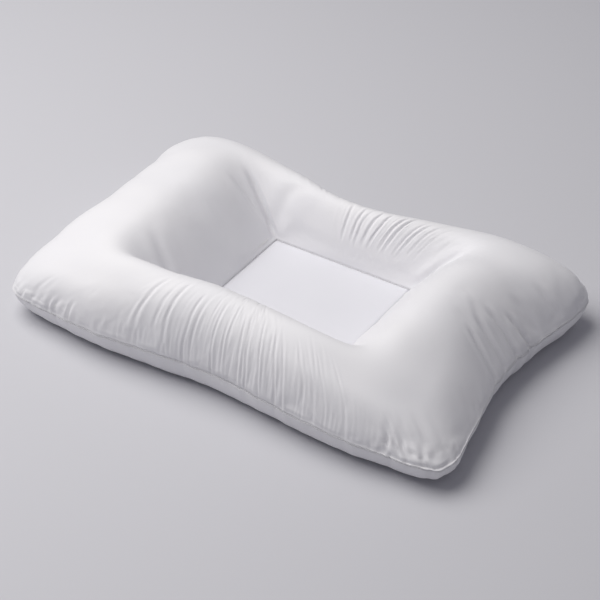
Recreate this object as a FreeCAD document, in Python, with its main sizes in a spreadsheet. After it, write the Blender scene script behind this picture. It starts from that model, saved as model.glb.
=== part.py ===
"""Neck-support pillow with a sunken head cradle, modelled as its sewn and filled pieces.

Millimetres.  The origin is on the floor under the middle of the pillow, +X runs along its
length, +Y towards its back edge and +Z up.  The cover is three panels of cloth: a ring that
rises over four rolls of fibre, a flat panel at the bottom of the head cradle, and a dished
panel underneath.  Inside, four low walls of cloth hold the cradle's edge down.
"""
import FreeCAD
import Part
import math
import os

import Sketcher

# alias, value in millimetres, what it is
DIMENSIONS = [
    ("corner_x", 294, "middle of a rounded corner, along the length"),
    ("corner_front", 175, "middle of a front corner, across the width"),
    ("corner_back", 183, "middle of a back corner, across the width"),
    ("front_sixteenth", 12, "front edge outside the line between its corners, beside a corner"),
    ("front_eighth", 16, "the same, an eighth of the way along"),
    ("front_quarter", 19, "the same, a quarter of the way along"),
    ("front_middle", 9, "the same, at its middle"),
    ("right_sixteenth", 7, "right edge, beside a corner"),
    ("right_eighth", 5.5, "right edge, an eighth of the way along"),
    ("right_quarter", -2, "right edge, a quarter of the way along"),
    ("right_middle", -13, "right edge, at its middle"),
    ("back_sixteenth", 10.5, "back edge, beside a corner"),
    ("back_eighth", 11, "back edge, an eighth of the way along"),
    ("back_quarter", 3, "back edge, a quarter of the way along"),
    ("back_middle", -27.5, "back edge, at its middle"),
    ("left_sixteenth", 7, "left edge, beside a corner"),
    ("left_eighth", 6.5, "left edge, an eighth of the way along"),
    ("left_quarter", 1, "left edge, a quarter of the way along"),
    ("left_middle", -8, "left edge, at its middle"),
    ("seam_height", 38, "perimeter seam above the floor"),
    ("floor_inset", 28, "how far the resting face lies inside the seam"),
    ("cradle_x", 98.5, "half the length of the head cradle"),
    ("cradle_front", 92, "front edge of the cradle from the middle"),
    ("cradle_back", 103, "back edge of the cradle from the middle"),
    ("cradle_height", 18, "top of the cradle panel above the floor"),
    ("front_arch", 86, "front roll above the line from seam to cradle"),
    ("right_arch", 85, "right lobe above the line from seam to cradle"),
    ("back_arch", 55, "back roll above the line from seam to cradle"),
    ("left_arch", 84, "left lobe above the line from seam to cradle"),
    ("front_left_arch", 64, "front left corner above that line"),
    ("front_right_arch", 60, "front right corner above that line"),
    ("back_right_arch", 67, "back right corner above that line"),
    ("back_left_arch", 79, "back left corner above that line"),
    ("front_lean", 0, "slope of the inner wall: 0 stands upright at the cradle, 1 is even"),
    ("right_lean", 0.9, "the same for the right lobe"),
    ("back_lean", 0.4, "the same for the back roll"),
    ("left_lean", 0.75, "the same for the left lobe"),
    ("front_left_lean", 0.5, "the same at the front left corner"),
    ("front_right_lean", 0.3, "the same at the front right corner"),
    ("back_right_lean", 0.9, "the same at the back right corner"),
    ("back_left_lean", 0.6, "the same at the back left corner"),
    ("front_outer_lean", 0, "the same for the front roll's outer wall down to the seam"),
    ("right_outer_lean", 0.8, "the same for the right lobe's outer wall"),
    ("back_outer_lean", 0, "the same for the back roll's outer wall"),
    ("left_outer_lean", 0, "the same for the left lobe's outer wall"),
    ("front_left_outer_lean", 0, "the same outside the front left corner"),
    ("front_right_outer_lean", 0.5, "the same outside the front right corner"),
    ("back_right_outer_lean", 0, "the same outside the back right corner"),
    ("back_left_outer_lean", 0, "the same outside the back left corner"),
    ("front_left_fill", 0.36, "share that fibre adds to the height on the cradle's side"),
    ("front_right_fill", 0.38, "the same at the front right corner"),
    ("back_right_fill", 0, "the same at the back right corner"),
    ("back_left_fill", 0, "the same at the back left corner"),
    ("front_left_point", 0.57, "how sharply the corner narrows towards its tip"),
    ("front_right_point", 0.30, "the same at the front right corner"),
    ("back_right_point", 0.22, "the same at the back right corner"),
    ("back_left_point", 0.45, "the same at the back left corner"),
    ("cloth", 1, "thickness of a cover panel with the down-proof backing"),
    ("clearance", 0.3, "space left between pieces that only touch"),
    ("thread", 0.8, "height of a line of lock stitches"),
    ("opening_half", 75, "half the length of the opening that the fibre went in through"),
    ("wall_margin", 16, "width of the boxes that keep the inner wall with the ring"),
    ("end_margin", 16, "how much wider they are at the two ends, where that wall leans"),
    ("thread_margin", 0.1, "how far the cradle's stitch lines stay off the baffles' faces"),
    ("reach", 330, "half the size of the boxes that cut the cover into panels"),
]

# corners run front left, front right, back right, back left; each side starts at its corner
CORNERS = ("front_left", "front_right", "back_right", "back_left")
SIDES = ("front", "right", "back", "left")
STATIONS = (0, 1 / 16, 1 / 8, 1 / 4, 1 / 2, 3 / 4, 7 / 8, 15 / 16, 1)
RING_STEPS = 20
DISH_STEPS = 6
CORNER_FILL_KEPT = 0.2  # share of a corner's extra fill still there at the side's middle

doc = FreeCAD.newDocument("neck_support_pillow")


def make_sheet():
    """Put the driving dimensions in a spreadsheet, one aliased cell each."""
    table = doc.addObject("Spreadsheet::Sheet", "Sizes")
    for row, (alias, value, meaning) in enumerate(DIMENSIONS, start=1):
        table.set("A%d" % row, alias)
        table.set("B%d" % row, str(value))
        table.set("C%d" % row, meaning)
        table.setAlias("B%d" % row, alias)
    doc.recompute()
    return table


sheet = make_sheet()


def size(alias):
    """A driving dimension as a number."""
    return float(sheet.get(alias))


def named(expression):
    """Turn plain dimension names in an expression into references to the sheet."""
    words = []
    for word in expression.split():
        is_name = any(word == entry[0] for entry in DIMENSIONS)
        words.append("Sizes." + word if is_name else word)
    return " ".join(words)


def value_of(expression):
    """The number that an expression on the sheet gives."""
    result = sheet.evalExpression(named(expression))
    return float(getattr(result, "Value", result))


# ---- curved forms: sections joined by narrow ruled strips, from the floor, over the rolls
# ---- and down to the cradle

def corner_point(index, half_x, front, back):
    """Corner of a rectangle that reaches half_x to each side, front and back."""
    sign_x = (-1, 1, 1, -1)[index % 4]
    reach_y = (-front, -front, back, back)[index % 4]
    return FreeCAD.Vector(sign_x * half_x, reach_y, 0)


def side_offset(side, station):
    """How far a side bows out past the line between its corners."""
    if station in (0, 1):
        return 0
    near = min(station, 1 - station)
    word = {1 / 16: "sixteenth", 1 / 8: "eighth", 1 / 4: "quarter", 1 / 2: "middle"}[near]
    return size(side + "_" + word)


def outline_point(index, station, inset):
    """Point of the perimeter seam in plan, drawn in towards the middle by inset."""
    reach_x, reach_front, reach_back = size("corner_x"), size("corner_front"), size("corner_back")
    start = corner_point(index, reach_x, reach_front, reach_back)
    end = corner_point(index + 1, reach_x, reach_front, reach_back)
    along = (end - start).normalize()
    outward = FreeCAD.Vector(along.y, -along.x, 0)
    point = start + (end - start) * station + outward * side_offset(SIDES[index], station)
    reach_y = reach_front if point.y < 0 else reach_back
    return FreeCAD.Vector(point.x * (1 - inset / reach_x), point.y * (1 - inset / reach_y), 0)


def cradle_point(index, station, grow):
    """Point of the cradle's edge in plan, moved outwards by grow."""
    box = (size("cradle_x") + grow, size("cradle_front") + grow, size("cradle_back") + grow)
    start = corner_point(index, *box)
    end = corner_point(index + 1, *box)
    return start + (end - start) * station


def arch_height(index, station):
    """Height of the filled roll above the line from the seam to the cradle's edge."""
    start = size(CORNERS[index] + "_arch")
    end = size(CORNERS[(index + 1) % 4] + "_arch")
    middle = math.sin(math.pi * station)
    side = size(SIDES[index] + "_arch")
    return (start + (end - start) * station) * (1 - middle) + side * middle


def between(index, station, ending):
    """A size given at both corners of a side, run straight from one to the other."""
    start = size(CORNERS[index] + ending)
    end = size(CORNERS[(index + 1) % 4] + ending)
    return start + (end - start) * station


def inner_fill(index, station, turn):
    """Factor on the arch's height, above 1 on the cradle's side of a well-filled corner."""
    share = min(1, max(0, (turn - 0.3) / 0.3))
    share = share * share * (3 - 2 * share)
    kept = 1 - (1 - CORNER_FILL_KEPT) * math.sin(math.pi * station)
    return 1 + between(index, station, "_fill") * kept * share


def plan_blend(index, station, turn):
    """How far a section point lies from the seam (0) towards the cradle's edge (1)."""
    rolled = (1 - math.cos(math.pi * turn)) / 2
    kind = "_lean" if turn > 0.5 else "_outer_lean"
    middle = math.sin(math.pi * station)
    lean = between(index, station, kind) * (1 - middle) + size(SIDES[index] + kind) * middle
    return rolled * (1 - lean) + turn * lean


def corner_tangent(index, blend):
    """Direction of a section at a side's two ends: a round corner outside, square inside."""
    along = FreeCAD.Vector(*((1, 0, 0), (0, 1, 0), (-1, 0, 0), (0, -1, 0))[index])
    outward = FreeCAD.Vector(along.y, -along.x, 0)
    lean = outward * (1 - blend)
    return (along + lean).normalize(), (along - lean).normalize()


def section_wire(side_curve, blend):
    """Closed wire of four splines, each through the points of one side."""
    edges = []
    for index in range(4):
        points = [side_curve(index, station) for station in STATIONS]
        first, last = corner_tangent(index, blend)
        curve = Part.BSplineCurve()
        curve.interpolate(Points=points, InitialTangent=first, FinalTangent=last, Scale=False)
        edges.append(curve.toShape())
    return Part.Wire(edges)


def dish_section(turn, inset):
    """Section of the dished underside, from turn 1 at the floor to 0 at the seam."""
    angle = turn * math.pi / 2
    inward = inset + size("floor_inset") * (1 - math.cos(angle))
    level = inset + (size("seam_height") - inset) * (1 - math.sin(angle))

    def side_curve(index, station):
        return outline_point(index, station, inward) + FreeCAD.Vector(0, 0, level)

    return section_wire(side_curve, 0)


def ring_section(turn, inset):
    """Section of the ring, from turn 0 at the seam over the crest to 1 at the cradle."""

    def side_curve(index, station):
        blend = plan_blend(index, station, turn)
        flat = outline_point(index, station, inset) * (1 - blend)
        flat += cradle_point(index, station, inset) * blend
        base = size("seam_height") * (1 - blend) + (size("cradle_height") - inset) * blend
        corner = 1 - math.sin(math.pi * station)
        power = 1 + between(index, station, "_point") * corner ** 2
        rise = (arch_height(index, station) - inset) * abs(math.sin(math.pi * turn)) ** power
        rise *= inner_fill(index, station, turn)
        return flat + FreeCAD.Vector(0, 0, base + rise)

    return section_wire(side_curve, (1 - math.cos(math.pi * turn)) / 2)


def pillow_form(name, inset):
    """Solid bounded by the cover's outer face moved inwards by inset."""
    sections = [dish_section(1 - step / DISH_STEPS, inset) for step in range(DISH_STEPS)]
    sections += [ring_section(step / RING_STEPS, inset) for step in range(RING_STEPS + 1)]
    form = doc.addObject("Part::Feature", name)
    solid, ruled = True, True
    form.Shape = Part.makeLoft(sections, solid, ruled)
    return form


# ---- straight pieces: plates, frames and the tools that cut the forms ----

def block(name, low, high):
    """Box between two corners, each coordinate an expression on the sheet."""
    box = doc.addObject("Part::Box", name)
    for axis, length, start, end in zip("xyz", ("Length", "Width", "Height"), low, high):
        box.setExpression("Placement.Base." + axis, named(start))
        box.setExpression(length, named("( %s ) - ( %s )" % (end, start)))
    return box


def boolean(kind, name, base, tool):
    """Part::Cut, Part::Fuse or Part::Common of two objects."""
    result = doc.addObject("Part::" + kind, name)
    result.Base = base
    result.Tool = tool
    return result


def add_polygon(sketch, corners):
    """Closed polygon whose corners are tied to the sheet by signed distances."""
    points = [FreeCAD.Vector(value_of(x), value_of(y), 0) for x, y in corners]
    first = sketch.GeometryCount
    count = len(points)
    for number in range(count):
        line = Part.LineSegment(points[number], points[(number + 1) % count])
        sketch.addGeometry(line, False)
    for number in range(count):
        here, after = first + number, first + (number + 1) % count
        sketch.addConstraint(Sketcher.Constraint("Coincident", here, 2, after, 1))
    for number, (x, y) in enumerate(corners):
        for kind, expression in (("DistanceX", x), ("DistanceY", y)):
            start = value_of(expression)
            tie = Sketcher.Constraint(kind, -1, 1, first + number, 1, start)
            index = sketch.addConstraint(tie)
            sketch.setExpression("Constraints[%d]" % index, named(expression))


def plate(name, outlines, low, high):
    """Flat piece: one padded sketch of an outline and any openings in it."""
    body = doc.addObject("PartDesign::Body", name)
    planes = [part for part in body.Origin.OriginFeatures if part.Role == "XY_Plane"]
    sketch = body.newObject("Sketcher::SketchObject", name + "_outline")
    sketch.AttachmentSupport = [(planes[0], "")]
    sketch.MapMode = "FlatFace"
    sketch.setExpression("AttachmentOffset.Base.z", named(low))
    for corners in outlines:
        add_polygon(sketch, corners)
    pad = body.newObject("PartDesign::Pad", name + "_thickness")
    pad.Profile = sketch
    pad.setExpression("Length", named("( %s ) - ( %s )" % (high, low)))
    body.Tip = pad
    return body


def rectangle(left, right, front, back):
    """Corners of a rectangle between four expressions."""
    return [(left, front), (right, front), (right, back), (left, back)]


def cradle_rectangle(grow):
    """Cradle's edge moved outwards by an expression."""
    return rectangle("- cradle_x - ( %s )" % grow, "cradle_x + ( %s )" % grow,
                     "- cradle_front - ( %s )" % grow, "cradle_back + ( %s )" % grow)


def column(name, grow, low, high, ends="0"):
    """Upright box over the cradle, wider than it by an expression, and more at its ends."""
    left, front = cradle_rectangle(grow)[0]
    right, back = cradle_rectangle(grow)[2]
    low_corner = (left + " - ( %s )" % ends, front, low)
    return block(name, low_corner, (right + " + ( %s )" % ends, back, high))


def mitre_y(edge):
    """Where a mitre from a cradle corner to a pillow corner meets the reach line."""
    slope = "( corner_%s - cradle_%s ) / ( corner_x - cradle_x )" % (edge, edge)
    return "cradle_%s + ( reach - cradle_x ) * %s" % (edge, slope)


# ---- the pillow's pieces ----

def make_cover_panels():
    """Ring, cradle and bottom panels, and the perimeter seam between them."""
    shell = boolean("Cut", "cover_shell", pillow_form("outer_form", 0),
                    pillow_form("inner_form", size("cloth")))
    wide = ("- reach", "- reach")
    far = ("reach", "reach")
    above = block("above_seam", (*wide, "seam_height + thread / 2 + clearance"), (*far, "reach"))
    below = block("below_seam", (*wide, "- reach"),
                  (*far, "seam_height - thread / 2 - clearance"))
    inside = column("inside_ring", "wall_margin", "cradle_height - cloth - 1",
                    "seam_height + 2", "end_margin")
    ring_zone = boolean("Fuse", "ring_zone", above, inside)
    sunken = column("cradle_zone", "0", "0", "cradle_height + 1")
    boolean("Common", "top_ring_panel", shell,
            boolean("Cut", "ring_tool", ring_zone, sunken))
    boolean("Common", "bottom_panel", shell,
            boolean("Cut", "bottom_tool", below,
                    column("above_base", "wall_margin + cloth", "cloth + 1", "reach",
                           "end_margin")))
    plate("cradle_panel", [cradle_rectangle("- clearance")], "cradle_height - cloth",
          "cradle_height")
    return shell


def make_perimeter_stitches(shell):
    """Seam thread round the pillow, in two runs: the long one and the one that closed it."""
    slab = block("seam_slab", ("- reach", "- reach", "seam_height - thread / 2"),
                 ("reach", "reach", "seam_height + thread / 2"))
    band = boolean("Common", "seam_band", shell,
                   boolean("Cut", "seam_tool", slab,
                           column("ring_wall", "wall_margin + 4", "0", "reach", "end_margin")))
    gap = block("opening_zone", ("- opening_half - clearance", "0", "0"),
                ("opening_half + clearance", "reach", "reach"))
    boolean("Cut", "perimeter_seam_thread", band, gap)
    boolean("Common", "closing_seam_thread", band,
            block("closing_zone", ("- opening_half", "0", "0"),
                  ("opening_half", "reach", "reach")))


def make_baffles():
    """Four low cloth walls between the cradle's edge and the bottom panel."""
    low = "cloth + thread + clearance"
    high = "cradle_height - cloth - thread - clearance"
    ends = {
        "front": rectangle("- cradle_x - cloth", "cradle_x + cloth",
                           "- cradle_front - cloth", "- cradle_front"),
        "back": rectangle("- cradle_x - cloth", "cradle_x + cloth",
                          "cradle_back", "cradle_back + cloth"),
        "left": rectangle("- cradle_x - cloth", "- cradle_x",
                          "- cradle_front + clearance", "cradle_back - clearance"),
        "right": rectangle("cradle_x", "cradle_x + cloth",
                           "- cradle_front + clearance", "cradle_back - clearance"),
    }
    for side, corners in ends.items():
        plate("baffle_" + side, [corners], low, high)


def make_cradle_stitches():
    """Stitch lines along the top and the foot of the baffles, each a closed square."""
    line = [cradle_rectangle("cloth - thread_margin"), cradle_rectangle("thread_margin")]
    plate("cradle_seam_thread", line, "cradle_height - cloth - thread - clearance / 2",
          "cradle_height - cloth - clearance / 2")
    plate("base_seam_thread", line, "cloth + clearance / 2", "cloth + thread + clearance / 2")


def make_fibre():
    """Fibre filling: four rolls split on the corner mitres, and the pad in the cradle."""
    inset = size("cloth") + size("clearance")
    filling = boolean("Cut", "filling", pillow_form("filling_form", inset),
                      column("cradle_core", "cloth + 2 * clearance", "- 1", "cradle_height"))
    half = "clearance * 0.7"
    near_front, far_front = "- cradle_front", "- ( " + mitre_y("front") + " )"
    near_back, far_back = "cradle_back", mitre_y("back")
    zones = {
        "fill_front_roll": [("- cradle_x", near_front + " - " + half),
                            ("- reach", far_front + " - " + half),
                            ("- reach", "- reach"), ("reach", "- reach"),
                            ("reach", far_front + " - " + half),
                            ("cradle_x", near_front + " - " + half)],
        "fill_back_roll": [("- cradle_x", near_back + " + " + half),
                           ("- reach", far_back + " + " + half),
                           ("- reach", "reach"), ("reach", "reach"),
                           ("reach", far_back + " + " + half),
                           ("cradle_x", near_back + " + " + half)],
    }
    for side, sign in (("left", "- "), ("right", "")):
        zones["fill_%s_lobe" % side] = [(sign + "cradle_x", near_front + " + " + half),
                                        (sign + "reach", far_front + " + " + half),
                                        (sign + "reach", far_back + " - " + half),
                                        (sign + "cradle_x", near_back + " - " + half)]
    for name, corners in zones.items():
        zone = plate(name + "_zone", [corners], "- 1", "reach")
        boolean("Common", name, filling, zone)
    plate("cradle_fill_pad", [cradle_rectangle("- clearance")], "cloth + clearance",
          "cradle_height - cloth - clearance")


PIECES = (
    "top_ring_panel", "cradle_panel", "bottom_panel",
    "perimeter_seam_thread", "closing_seam_thread", "cradle_seam_thread", "base_seam_thread",
    "baffle_front", "baffle_back", "baffle_left", "baffle_right",
    "fill_front_roll", "fill_back_roll", "fill_left_lobe", "fill_right_lobe", "cradle_fill_pad",
)


def check_document():
    """Stop if any object failed or any piece isn't a valid solid."""
    for item in doc.Objects:
        if "Invalid" in item.State or "Error" in item.State:
            raise RuntimeError(item.Name + " failed to recompute")
    for name in PIECES:
        shape = doc.getObject(name).Shape
        if shape.isNull() or not shape.isValid() or not shape.Solids:
            raise RuntimeError(name + " is not a valid solid")
        extent = shape.optimalBoundingBox(False, False)
        print("%-22s solids %d  %8.1f cm3  x %6.1f to %6.1f  y %6.1f to %6.1f  z %5.1f to %5.1f" % (
            name, len(shape.Solids), shape.Volume / 1000, extent.XMin, extent.XMax,
            extent.YMin, extent.YMax, extent.ZMin, extent.ZMax))


def write_pieces():
    """Write each piece to its own STEP file."""
    os.makedirs("parts", exist_ok=True)
    for name in PIECES:
        piece = doc.getObject(name)
        piece.Label = name
        piece.Shape.exportStep("parts/" + name + ".step")


make_perimeter_stitches(make_cover_panels())
make_baffles()
make_cradle_stitches()
make_fibre()
doc.recompute()
check_document()
write_pieces()
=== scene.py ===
import math

import bpy
import numpy as np
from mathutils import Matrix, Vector


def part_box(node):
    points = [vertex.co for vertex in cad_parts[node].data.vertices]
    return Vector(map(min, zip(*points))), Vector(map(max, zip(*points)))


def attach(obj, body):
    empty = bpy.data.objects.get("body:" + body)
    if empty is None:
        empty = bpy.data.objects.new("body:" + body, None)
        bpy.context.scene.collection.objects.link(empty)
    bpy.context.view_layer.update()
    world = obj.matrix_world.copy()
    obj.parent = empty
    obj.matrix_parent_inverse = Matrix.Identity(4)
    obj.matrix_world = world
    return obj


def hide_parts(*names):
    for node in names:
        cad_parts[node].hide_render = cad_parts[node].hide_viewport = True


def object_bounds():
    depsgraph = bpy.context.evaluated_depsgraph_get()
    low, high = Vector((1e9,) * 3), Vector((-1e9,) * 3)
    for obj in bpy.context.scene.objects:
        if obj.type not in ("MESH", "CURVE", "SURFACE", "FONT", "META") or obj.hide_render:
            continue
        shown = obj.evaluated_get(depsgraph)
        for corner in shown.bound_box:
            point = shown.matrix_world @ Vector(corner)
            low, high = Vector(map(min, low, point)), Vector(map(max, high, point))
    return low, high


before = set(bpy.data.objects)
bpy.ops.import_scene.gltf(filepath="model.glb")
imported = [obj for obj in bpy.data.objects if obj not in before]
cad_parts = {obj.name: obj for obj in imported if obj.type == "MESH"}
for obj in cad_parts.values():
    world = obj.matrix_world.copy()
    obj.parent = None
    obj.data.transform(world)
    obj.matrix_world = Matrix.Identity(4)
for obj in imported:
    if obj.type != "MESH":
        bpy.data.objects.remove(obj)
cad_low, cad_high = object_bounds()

MM = 0.001
SIDES = ("front", "right", "back", "left")
BODY = "root"

# ---- sizes, from the frame's own boxes ----
seam_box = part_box("perimeter_seam_thread")
cradle_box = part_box("cradle_panel")
SEAM_LEVEL = (seam_box[0][2] + seam_box[1][2]) / 2
CRADLE_LEVEL = cradle_box[1][2]
EDGE_PLAY = 0.3 * MM
CRADLE_LEFT = cradle_box[0][0] - EDGE_PLAY
CRADLE_RIGHT = cradle_box[1][0] + EDGE_PLAY
CRADLE_FRONT = cradle_box[0][1] - EDGE_PLAY
CRADLE_BACK = cradle_box[1][1] + EDGE_PLAY

# Corners of the outline before they are rounded, set from the sides of the CAD box.
CUT_LEFT = cad_low.x - 4 * MM
CUT_RIGHT = cad_high.x + 4 * MM
CUT_FRONT = cad_low.y + 9.2 * MM
CUT_BACK = cad_high.y - 1.1 * MM
CORNER_ROUND = 25.6 * MM

# Each side: how far its middle is drawn in, how far its quarters swell out, how high its roll
# stands over the line from seam to cradle, and the same roll height at the side's first corner.
PULL_IN = {"front": 2 * MM, "right": 25 * MM, "back": 40 * MM, "left": 20 * MM}
SWELL = {"front": 11 * MM, "right": 0, "back": 14.6 * MM, "left": 1 * MM}
ROLL_HEIGHT = {"front": 86 * MM, "right": 85 * MM, "back": 55 * MM, "left": 83.5 * MM}
CORNER_HEIGHT = {"front": 64 * MM, "right": 60 * MM, "back": 67 * MM, "left": 79 * MM}
SEAM_CORNER_DROP = {"front": 4 * MM, "right": 6 * MM, "back": 2 * MM, "left": 6 * MM}
# How evenly each inner wall slopes: 0 stands upright at the cradle, 1 leans at one slope.
LEAN_MIDDLE = {"front": -0.4, "right": 0.9, "back": 0.4, "left": 0.75}
LEAN_CORNER = {"front": 0.5, "right": 0.3, "back": 0.9, "left": 0.6}
# The same for the outer wall down to the seam.
OUTER_LEAN_MIDDLE = {"front": 0.0, "right": 0.8, "back": 0.0, "left": 0.0}
OUTER_LEAN_CORNER = {"front": 0.0, "right": 0.5, "back": 0.0, "left": 0.0}
# Extra fill towards the cradle at each side's first corner.
INNER_FILL = {"front": 0.36, "right": 0.38, "back": 0.0, "left": 0.0}
INNER_FILL_LOST = 0.8  # share of it gone at a side's middle
INNER_FILL_START = 0.3  # turn where it starts, and how many turns it takes to be full
SEAM_MIDDLE_RISE = 2 * MM
# How sharply each side's first corner narrows towards its tip.
POINTED_CORNER = {"front": 0.57, "right": 0.30, "back": 0.22, "left": 0.45}
FLOOR_INSET = 28 * MM

# Sewing and cloth
CLOTH = 0.5 * MM
ALLOWANCE = 5 * MM
STITCH_LENGTH = 2.6 * MM
STITCH_PITCH = 3.2 * MM
THREAD = 0.45 * MM

# Mesh columns per side and where along it they crowd together, for the finely gathered cloth.
COLUMNS = {"front": 340, "right": 120, "back": 260, "left": 90}
CROWDED = {"front": (0.60, 0.25), "right": (0.5, 0.4), "back": (0.32, 0.25), "left": (0.5, 0.5)}
RING_ROWS = 50
DISH_ROWS = 14
CROWDING = 2.0
ROW_CROWDING = 0.55
SIDE_SAMPLES = 200
STATION_SAMPLES = 2001
SEAM_SAMPLES = 4000
ROW_SAMPLES = 2048


def deselect_all():
    bpy.ops.object.select_all(action="DESELECT")


def smoothstep(x):
    """Rises from 0 to 1 as x does, level at both ends."""
    x = np.clip(x, 0, 1)
    return x * x * (3 - 2 * x)


def bump(x, middle, width):
    """Bell of height 1."""
    return np.exp(-((x - middle) / width) ** 2)


def path_lengths(points):
    """Distance along a path to each of its points."""
    steps = np.linalg.norm(np.diff(points, axis=0), axis=1)
    return np.concatenate([[0], np.cumsum(steps)])


def soften_loop(values, spread):
    """Smooth a closed row of even samples with a bell that is spread samples wide."""
    frequency = np.fft.fftfreq(len(values))
    damping = np.exp(-2 * (np.pi * frequency * spread) ** 2)
    return np.real(np.fft.ifft(np.fft.fft(values) * damping))


# ---- the cover's shape: columns run round the pillow, rows from the seam to the cradle ----

def cut_corners():
    return np.array([(CUT_LEFT, CUT_FRONT), (CUT_RIGHT, CUT_FRONT),
                     (CUT_RIGHT, CUT_BACK), (CUT_LEFT, CUT_BACK)])


def cradle_corners():
    return np.array([(CRADLE_LEFT, CRADLE_FRONT), (CRADLE_RIGHT, CRADLE_FRONT),
                     (CRADLE_RIGHT, CRADLE_BACK), (CRADLE_LEFT, CRADLE_BACK)])


def seam_outline():
    """Closed seam line in plan as even points, and where its four corners lie."""
    corners = cut_corners()
    station = np.linspace(0, 1, SIDE_SAMPLES, endpoint=False)[:, None]
    line = []
    for index, side in enumerate(SIDES):
        start, end = corners[index], corners[(index + 1) % 4]
        along = (end - start) / np.linalg.norm(end - start)
        inward = np.array([-along[1], along[0]])
        drawn = PULL_IN[side] * np.sin(np.pi * station) ** 2
        drawn = drawn - SWELL[side] * np.sin(2 * np.pi * station) ** 2
        line.append(start + (end - start) * station + inward * drawn)
    line = np.vstack(line)
    closed = np.vstack([line, line[:1]])
    length = path_lengths(closed)
    even = np.linspace(0, length[-1], SEAM_SAMPLES, endpoint=False)
    points = np.stack([np.interp(even, length, closed[:, axis]) for axis in (0, 1)], 1)
    spread = CORNER_ROUND * SEAM_SAMPLES / length[-1]
    for axis in (0, 1):
        points[:, axis] = soften_loop(points[:, axis], spread)
    nearest = [int(np.argmin(np.linalg.norm(points - corner, axis=1))) for corner in corners]
    return points, nearest


def crowded_stations(side):
    """Stations along a side from 0 up to, not including, 1, closer where it is gathered."""
    middle, width = CROWDED[side]
    fine = np.linspace(0, 1, STATION_SAMPLES)
    density = 1 + CROWDING * bump(fine, middle, width)
    total = np.concatenate([[0], np.cumsum((density[1:] + density[:-1]) / 2)])
    wanted = np.linspace(0, total[-1], COLUMNS[side], endpoint=False)
    return np.interp(wanted, total, fine)


def make_columns():
    """Side number and station of every column, and its seam and cradle points."""
    outline, nearest = seam_outline()
    count = len(outline)
    box = cradle_corners()
    numbers, stations, seam, cradle = [], [], [], []
    for index, side in enumerate(SIDES):
        first, last = nearest[index], nearest[(index + 1) % 4]
        if last <= first:
            last += count
        run = outline[np.arange(first, last + 1) % count]
        length = path_lengths(run)
        station = crowded_stations(side)
        numbers.append(np.full(len(station), index))
        stations.append(station)
        seam.append(np.stack([np.interp(station * length[-1], length, run[:, axis])
                              for axis in (0, 1)], 1))
        cradle.append(box[index] + (box[(index + 1) % 4] - box[index]) * station[:, None])
    return tuple(np.concatenate(part) for part in (numbers, stations, seam, cradle))


def between_corners(table, numbers, stations):
    """A value given at each side's first corner, run straight to the next corner's."""
    values = np.array([table[side] for side in SIDES])
    return values[numbers] * (1 - stations) + values[(numbers + 1) % 4] * stations


column_side, column_station, seam_plan, cradle_plan = make_columns()
column_place = column_side + column_station
mid_side = np.sin(np.pi * column_station)
side_height = np.array([ROLL_HEIGHT[side] for side in SIDES])[column_side]
corner_height = between_corners(CORNER_HEIGHT, column_side, column_station)
roll_height = corner_height * (1 - mid_side) + side_height * mid_side
corner_drop = between_corners(SEAM_CORNER_DROP, column_side, column_station)
seam_level = SEAM_LEVEL - corner_drop * (1 - mid_side) + SEAM_MIDDLE_RISE * mid_side


# ---- folds ----
#
# Places run from 0 to 4 round the pillow, a whole number at each corner, from the front left
# one. Turns run from 0 at the seam to 1 at the cradle. Depths and half widths are in mm.

# (first place, last place, lean, spread, first turn, last turn, how many, depth, half width)
FANS = [
    # over the crest of the back roll and down its inner face
    (2.18, 2.52, -0.03, 0.10, 0.38, 0.86, 11, 0.9, 1.7),
    # from the crest of the front roll down to the seam
    (0.42, 0.84, -0.01, -0.02, 0.46, -0.02, 13, 0.65, 1.6),
    (0.30, 0.40, 0.02, 0.00, 0.52, 0.04, 3, 0.75, 2.2),
    # right end: one deep fold that pulls the seam in, and lesser ones on both sides of it
    (1.62, 1.62, 0.02, 0.00, 0.20, -0.02, 1, 3.2, 3.4),
    (1.40, 1.58, 0.00, 0.02, 0.28, -0.02, 3, 2.0, 3.6),
    (1.68, 1.84, 0.00, 0.00, 0.26, 0.01, 2, 1.2, 5.6),
    # puckers at the front right and front left corners
    (0.90, 1.06, 0.00, 0.02, 0.16, -0.02, 5, 1.9, 2.6),
    (0.02, 0.14, 0.00, 0.02, 0.12, -0.02, 4, 1.6, 2.0),
    # creases that start at the cradle's corners
    (3.00, 3.00, 0.00, 0.00, 0.99, 0.62, 1, 3.4, 4.2),
    (3.00, 3.00, 0.15, 0.00, 0.96, 0.62, 1, 2.0, 4.5),
    (3.00, 3.00, -0.30, 0.00, 0.97, 0.52, 1, 1.3, 10.0),
    (4.00, 4.00, -0.25, 0.00, 0.98, 0.60, 1, 1.8, 7.0),
    (0.00, 0.00, 0.10, 0.00, 0.98, 0.64, 1, 1.4, 7.0),
    (1.00, 1.00, 0.00, 0.00, 0.98, 0.66, 1, 1.6, 6.0),
    (2.00, 2.00, 0.00, 0.00, 0.98, 0.62, 1, 2.2, 6.0),
]
UNEVEN_PLACE = 0.3
UNEVEN_MIDDLE = 0.006
UNEVEN_DEPTH = 0.4
UNEVEN_WIDTH = 0.2

# A fold this deep that reaches the seam pulls it in and down.
PULLING_DEPTH = 1.3
PULL_REACH = 5.5 * MM
PULL_IN_SHARE = 1.6
PULL_IN_SLACK = 1.8
PULL_DOWN_SHARE = 0.25

# Waves of the seam line, by how many go round the pillow.
SEAM_WAVES = (17, 29, 43, 61, 88)
SEAM_WAVER = 1.3 * MM
FULL_TURN = 6.28


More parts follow.
